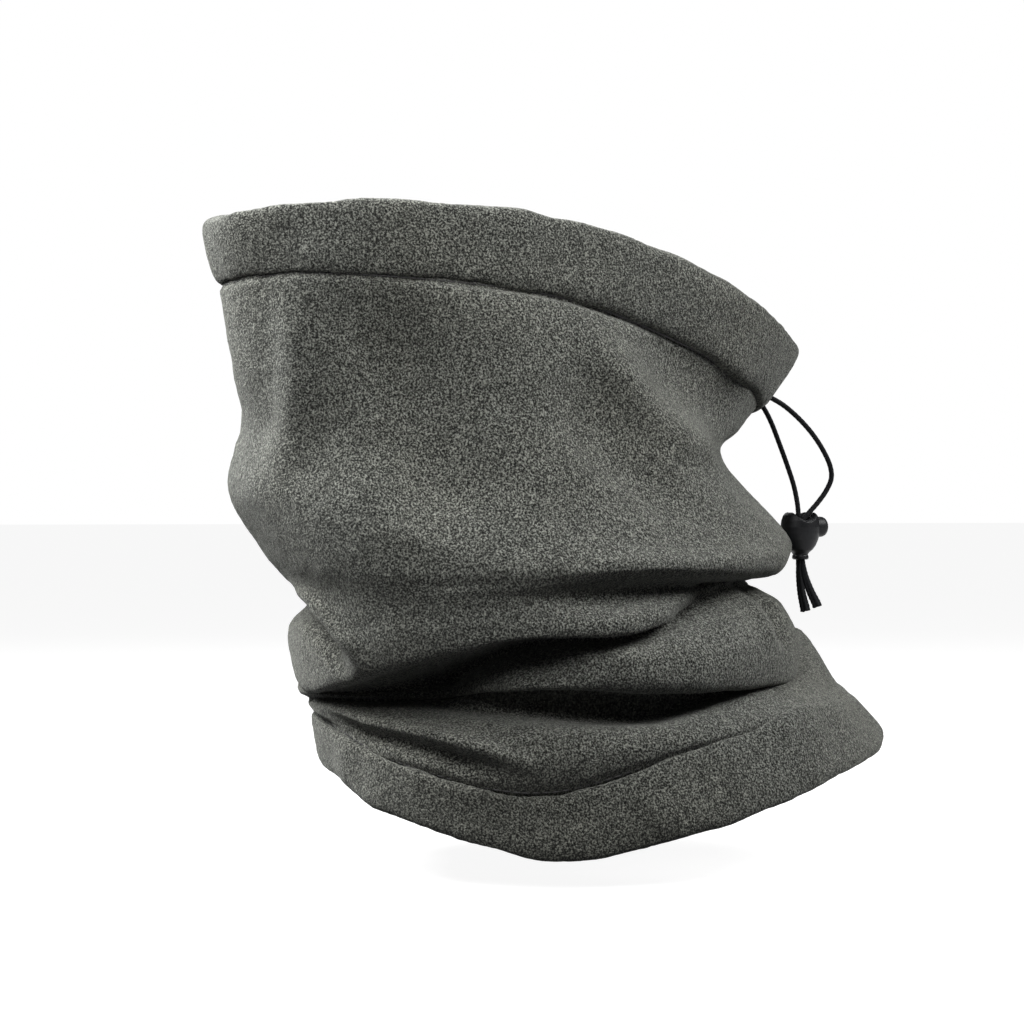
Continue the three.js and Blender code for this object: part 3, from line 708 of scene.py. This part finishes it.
def lock_housing(name):
    """Barrel-shaped lock body with a dished mouth, a cord slot, a plunger bore and a spring pocket."""
    outline = [
        (0, 0), (2.5, 0), (3.0, 0.4), (3.0, 1.3), (2.7, 1.9), (3.2, 2.7), (4.7, 3.8), (6.1, 5.4), (7.1, 7.6),
        (7.7, 10.1), (7.9, 12.5), (7.6, 15), (6.9, 16.9), (6.0, 17.9), (5.0, LOCK_HEIGHT), (0, LOCK_HEIGHT),
    ]
    shell = lathe(name, outline)
    for vertex in shell.data.vertices:
        rise = min(max((vertex.co.z / MM - COLLAR_TOP) / COLLAR_TOP, 0), 1)
        vertex.co.x *= COLLAR_WIDE + (LOCK_FLAT - COLLAR_WIDE) * rise
    slot = placed(lathe("slot", [(0, -20), (1.7, -20), (1.7, 40), (0, 40)], 50), scale=(1.6, 1, 1))
    low = LOCK_HEIGHT - 5.5
    funnel = lathe("funnel", [(0, low), (1.9, low), (6.9, LOCK_HEIGHT + 2.5), (0, LOCK_HEIGHT + 2.5)], 72)
    funnel = placed(funnel, scale=(0.76, 1, 1))
    saddle = lathe("saddle", [(0, -20), (SADDLE, -20), (SADDLE, 20), (0, 20)], 66)
    dip = LOCK_HEIGHT + SADDLE - SADDLE_DEPTH
    saddle = placed(saddle, turn=(0, 90 + SADDLE_TILT, 0), move=(0, 0, dip))
    steps = [(0, BORE_END), (POCKET, BORE_END), (POCKET, BORE_STEP), (BORE, BORE_STEP), (BORE, 14), (0, 14)]
    bore = placed(lathe("bore", steps, 84), turn=(-90, 0, 0), move=(0, 0, BORE_Z - LOCK_BASE))
    thing = moulded(cut(shell, slot, funnel, saddle, bore), 0.16, 5)
    return placed(thing, move=(0, LOCK_Y, LOCK_BASE))


def lock_plunger(name):
    """The button: a domed pin with a window for the two strands."""
    outline = [
        (0, PLUNGER_INNER), (PLUNGER, PLUNGER_INNER), (PLUNGER, 8.6), (3.85, 9.4), (3.5, 10.2), (2.8, 10.8),
        (1.6, 11.15), (0, PLUNGER_DOME),
    ]
    pin = placed(lathe(name, outline), turn=(-90, 0, 0))
    window = lathe("window", [(0, -6), (2.7, -6), (2.7, 6), (0, 6)])
    window = placed(window, scale=(1.15, 1, 1), move=(0, 1.35, 0))
    thing = moulded(cut(pin, window), 0.14, 5)
    return placed(thing, move=(0, LOCK_Y, BORE_Z))


def lock_spring(name):
    """A short compression spring behind the plunger."""
    wire, coil, turns = 0.5, 2.4, 3.5
    low = BORE_END + wire / 2 + 0.3
    high = PLUNGER_INNER - wire / 2 - 0.3
    share = np.linspace(0, 1, 240)
    angle = share * turns * 2 * np.pi
    y = LOCK_Y + low + (high - low) * share
    line = np.stack([coil * np.cos(angle), y, BORE_Z + coil * np.sin(angle)], -1)
    return tube(name, line, wire / 2, sides=16)


# ---------------------------------------------------------------- materials
# The colour sockets of a mix node, which share their names with its number sockets.
MIX_A, MIX_B, MIX_RESULT = 6, 7, 2


def new_material(name):
    material = bpy.data.materials.new(name)
    material.use_nodes = True
    tree = material.node_tree
    shader = tree.nodes["Principled BSDF"]
    return material, tree, shader


def node(tree, kind, **settings):
    made = tree.nodes.new(kind)
    for key, value in settings.items():
        if key in made.inputs:
            made.inputs[key].default_value = value
        else:
            setattr(made, key, value)
    return made


def link(tree, source, output, target, socket):
    tree.links.new(source.outputs[output], target.inputs[socket])


def noise(tree, coordinates, scale, detail=2.0, roughness=0.5):
    made = node(tree, "ShaderNodeTexNoise", Scale=scale, Detail=detail, Roughness=roughness)
    link(tree, coordinates, "Object", made, "Vector")
    return made


def ramp(tree, source, output, stops):
    made = tree.nodes.new("ShaderNodeValToRGB")
    link(tree, source, output, made, "Fac")
    line = made.color_ramp
    while len(line.elements) < len(stops):
        line.elements.new(0.5)
    for element, (place, colour) in zip(line.elements, stops):
        element.position = place
        element.color = (*colour, 1)
    return made


def product(tree, first, second):
    """The product of two colours, as the socket that gives it."""
    made = node(tree, "ShaderNodeMix", data_type="RGBA", blend_type="MULTIPLY")
    made.inputs["Factor"].default_value = 1
    tree.links.new(first, made.inputs[MIX_A])
    tree.links.new(second, made.inputs[MIX_B])
    return made.outputs[MIX_RESULT]


def grey(value):
    return (value, value, value)


def fleece_material():
    """Brushed fleece: fine tufts of pile with painted shade in the gaps between them, slow colour drift and
    a soft sheen.
    """
    material, tree, shader = new_material("fleece")
    place = tree.nodes.new("ShaderNodeTexCoord")
    tufts = noise(tree, place, 1500, detail=2, roughness=0.6)
    mottle = noise(tree, place, 420, detail=2)
    drift = noise(tree, place, 16, detail=2)
    # Pile colour: the near-black end of this ramp is painted shade in the gaps between the tufts; the light
    # end is the pile's own grey.
    pile_with_painted_gap_shade = ramp(tree, tufts, "Fac", [(0.38, (0.006, 0.0062, 0.0056)), (0.50, (0.086, 0.088, 0.079)),
                                     (0.64, (0.330, 0.337, 0.298))])
    shade = ramp(tree, mottle, "Fac", [(0.3, grey(0.62)), (0.7, grey(1.0))])
    slow = ramp(tree, drift, "Fac", [(0.3, (0.93, 0.94, 0.95)), (0.7, (1.0, 0.995, 0.975))])
    tufts_and_gap_shade = product(tree, pile_with_painted_gap_shade.outputs["Color"], shade.outputs["Color"])
    tree.links.new(product(tree, tufts_and_gap_shade, slow.outputs["Color"]), shader.inputs["Base Color"])
    coarse = node(tree, "ShaderNodeBump", Strength=0.7, Distance=0.0009)
    link(tree, mottle, "Fac", coarse, "Height")
    fine = node(tree, "ShaderNodeBump", Strength=1.0, Distance=0.0007)
    link(tree, tufts, "Fac", fine, "Height")
    link(tree, coarse, "Normal", fine, "Normal")
    link(tree, fine, "Normal", shader, "Normal")
    shader.inputs["Roughness"].default_value = 0.95
    shader.inputs["Specular IOR Level"].default_value = 0.1
    shader.inputs["Sheen Weight"].default_value = 0.3
    shader.inputs["Sheen Roughness"].default_value = 0.5
    shader.inputs["Sheen Tint"].default_value = (0.9, 0.92, 0.86, 1)
    return material


def thread_material():
    """Spun sewing thread."""
    material, tree, shader = new_material("thread")
    place = tree.nodes.new("ShaderNodeTexCoord")
    fibres = noise(tree, place, 2600, detail=2)
    colour = ramp(tree, fibres, "Fac", [(0.35, grey(0.028)), (0.7, grey(0.075))])
    link(tree, colour, "Color", shader, "Base Color")
    bump = node(tree, "ShaderNodeBump", Strength=0.4, Distance=0.0002)
    link(tree, fibres, "Fac", bump, "Height")
    link(tree, bump, "Normal", shader, "Normal")
    shader.inputs["Roughness"].default_value = 0.7
    return material


def cord_material():
    """Braided elastic with a dull polyester cover."""
    material, tree, shader = new_material("cord")
    place = tree.nodes.new("ShaderNodeTexCoord")
    fibres = noise(tree, place, 3200, detail=2)
    colour = ramp(tree, fibres, "Fac", [(0.35, (0.0035, 0.0038, 0.0045)), (0.7, (0.012, 0.0125, 0.0145))])
    link(tree, colour, "Color", shader, "Base Color")
    bump = node(tree, "ShaderNodeBump", Strength=0.5, Distance=0.00012)
    link(tree, fibres, "Fac", bump, "Height")
    link(tree, bump, "Normal", shader, "Normal")
    shader.inputs["Roughness"].default_value = 0.7
    shader.inputs["Specular IOR Level"].default_value = 0.12
    shader.inputs["Sheen Weight"].default_value = 0.03
    return material


def plastic_material(name, colour, roughness):
    """Moulded plastic with a fine spark-eroded texture and handling wear."""
    material, tree, shader = new_material(name)
    place = tree.nodes.new("ShaderNodeTexCoord")
    grain = noise(tree, place, 2400, detail=3)
    smudge = noise(tree, place, 260, detail=2)
    tint = ramp(tree, smudge, "Fac", [(0.3, colour), (0.75, tuple(1.7 * c for c in colour))])
    link(tree, tint, "Color", shader, "Base Color")
    rough = node(tree, "ShaderNodeMapRange")
    rough.inputs["To Min"].default_value = roughness - 0.07
    rough.inputs["To Max"].default_value = roughness + 0.1
    link(tree, smudge, "Fac", rough, "Value")
    link(tree, rough, "Result", shader, "Roughness")
    bump = node(tree, "ShaderNodeBump", Strength=0.25, Distance=0.00008)
    link(tree, grain, "Fac", bump, "Height")
    link(tree, bump, "Normal", shader, "Normal")
    shader.inputs["Specular IOR Level"].default_value = 0.2
    return material


def steel_material():
    """Drawn spring wire."""
    material, tree, shader = new_material("spring_steel")
    place = tree.nodes.new("ShaderNodeTexCoord")
    scratches = noise(tree, place, 1500, detail=3)
    colour = ramp(tree, scratches, "Fac", [(0.3, grey(0.42)), (0.7, grey(0.62))])
    link(tree, colour, "Color", shader, "Base Color")
    shader.inputs["Metallic"].default_value = 1
    shader.inputs["Roughness"].default_value = 0.32
    return material


def floor_material():
    """Matt white paper that glows a little, so that it stays pale behind the gaiter."""
    material, tree, shader = new_material("paper")
    shader.inputs["Emission Color"].default_value = (1, 1, 1, 1)
    shader.inputs["Emission Strength"].default_value = 0.92
    place = tree.nodes.new("ShaderNodeTexCoord")
    fibre = noise(tree, place, 40, detail=2)
    colour = ramp(tree, fibre, "Fac", [(0.3, grey(0.21)), (0.7, grey(0.23))])
    link(tree, colour, "Color", shader, "Base Color")
    shader.inputs["Roughness"].default_value = 0.9
    return material


def paint(thing, material):
    thing.data.materials.clear()
    thing.data.materials.append(material)
    return thing


# ---------------------------------------------------------------- studio
def camera():
    azimuth = math.radians(CAMERA_AZIMUTH)
    aim = Vector(CAMERA_AIM) * MM
    away = Vector((math.sin(azimuth), -math.cos(azimuth), 0))
    data = bpy.data.cameras.new("camera")
    data.angle = 2 * math.atan(FRAME_WIDTH / 2 / CAMERA_DISTANCE)
    data.clip_end = 100
    thing = bpy.data.objects.new("camera", data)
    thing.location = aim + away * CAMERA_DISTANCE * MM
    thing.rotation_euler = (aim - thing.location).to_track_quat("-Z", "Y").to_euler()
    bpy.context.scene.collection.objects.link(thing)
    bpy.context.scene.camera = thing
    return thing


def area_light(name, azimuth, elevation, distance, size, power):
    """A soft square light that faces the gaiter."""
    a, e = math.radians(azimuth), math.radians(elevation)
    centre = Vector((0, 0, 0.12))
    away = Vector((math.sin(a) * math.cos(e), -math.cos(a) * math.cos(e), math.sin(e)))
    data = bpy.data.lights.new(name, "AREA")
    data.size = size
    data.energy = power
    thing = bpy.data.objects.new(name, data)
    thing.location = centre + away * distance
    thing.rotation_euler = (-away).to_track_quat("-Z", "Y").to_euler()
    bpy.context.scene.collection.objects.link(thing)
    return thing


def surroundings():
    """Soft light from above that dies away below the horizon, in front of a white backdrop."""
    world = bpy.data.worlds.new("studio")
    world.use_nodes = True
    tree = world.node_tree
    soft = tree.nodes["Background"]
    place = tree.nodes.new("ShaderNodeTexCoord")
    split = tree.nodes.new("ShaderNodeSeparateXYZ")
    link(tree, place, "Generated", split, "Vector")
    rise = node(tree, "ShaderNodeMapRange")
    rise.inputs["From Min"].default_value = -0.25
    rise.inputs["From Max"].default_value = 0.9
    rise.inputs["To Min"].default_value = AMBIENT_LOW
    rise.inputs["To Max"].default_value = AMBIENT_HIGH
    link(tree, split, "Z", rise, "Value")
    link(tree, rise, "Result", soft, "Strength")
    white = tree.nodes.new("ShaderNodeBackground")
    white.inputs["Strength"].default_value = 1.0
    white.inputs["Color"].default_value = (1, 1, 1, 1)
    rays = tree.nodes.new("ShaderNodeLightPath")
    mixer = tree.nodes.new("ShaderNodeMixShader")
    link(tree, rays, "Is Camera Ray", mixer, "Fac")
    tree.links.new(soft.outputs[0], mixer.inputs[1])
    tree.links.new(white.outputs[0], mixer.inputs[2])
    tree.links.new(mixer.outputs[0], tree.nodes["World Output"].inputs["Surface"])
    bpy.context.scene.world = world


def studio():
    bpy.context.scene.view_settings.view_transform = "Standard"
    surroundings()
    # azimuth and elevation in degrees, distance and size in m, power in W
    area_light("front", -28, 46, 0.9, 0.45, 17)
    area_light("nape", 145, 42, 1.1, 0.5, 12)
    area_light("over", 50, 36, 0.55, 0.3, 1.9)
    area_light("far", 250, 40, 1.6, 0.9, 9)
    size = 30.0
    corners = [(-size, -size, 0), (size, -size, 0), (size, size, 0), (-size, size, 0)]
    floor = mesh_of("floor", np.array(corners) / MM, [[0, 1, 2, 3]])
    floor.visible_diffuse = False
    paint(floor, floor_material())


# ---------------------------------------------------------------- the gaiter
def ride_and_replace(thing, body, slot, *nodes):
    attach(thing, body)
    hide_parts(*nodes)
    return thing


def drawcord(cord, thread):
    """Both free strands with their sealed ends, and the bound holes they leave through."""
    for name, route, nodes in (("left", LEFT_ROUTE, LEFT_NODES), ("right", RIGHT_ROUTE, RIGHT_NODES)):
        thing, line, length = strand("drawcord_" + name, route, *nodes)
        paint(thing, cord)
        end = paint(tail_end("cord_end_" + name, line, TAIL), cord)
        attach(end, "cord_lock")
        ring_of_thread = paint(eyelet("bound_hole_" + name, line), thread)
        ride_and_replace(ring_of_thread, "gaiter", "thread", "eyelet_" + name)


def fabric(fleece, thread):
    """The tube, its two hems, the stitch rows and the back seam."""
    tube_piece = paint(fleece_body(), fleece)
    casing = paint(hem("casing_fold", TOP_EDGE, TOP_STITCH, 31), fleece)
    bottom = paint(hem("shoulder_fold", BOTTOM_EDGE, BOTTOM_STITCH, 51), fleece)
    ride_and_replace(tube_piece, "gaiter", "fleece", "fleece_body")
    ride_and_replace(casing, "gaiter", "fleece", "top_casing")
    ride_and_replace(bottom, "gaiter", "fleece", "bottom_hem")
    for name, one, seed, node_name in (
        ("casing_stitches", TOP_STITCH, 61, "top_hem_stitch"),
        ("shoulder_stitches", BOTTOM_STITCH, 71, "bottom_hem_stitch"),
    ):
        ride_and_replace(paint(stitch_row(name, one, seed), thread), "gaiter", "thread", node_name)
    ride_and_replace(paint(seam_strip("seam_strip"), fleece), "gaiter", "fleece", "back_seam_allowance")
    for name, side in (("overlock_left", 1), ("overlock_right", -1)):
        ride_and_replace(paint(overlock(name, side), thread), "gaiter", "thread", "back_seam_allowance")


def cord_lock():
    plastic = plastic_material("lock_plastic", (0.0065, 0.0068, 0.0078), 0.42)
    ride_and_replace(paint(lock_housing("lock_body"), plastic), "cord_lock", "lock_plastic", "lock_housing")
    ride_and_replace(paint(lock_plunger("lock_button"), plastic), "plunger", "lock_plastic", "lock_plunger")
    spring = paint(lock_spring("button_spring"), steel_material())
    ride_and_replace(spring, "cord_lock", "spring_steel", "lock_spring")
    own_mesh(spring)


def main():
    camera()
    cord = cord_material()
    thread = thread_material()
    drawcord(cord, thread)
    fabric(fleece_material(), thread)
    cord_lock()
    paint(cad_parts["drawcord_casing_run"], cord)
    studio()


main()
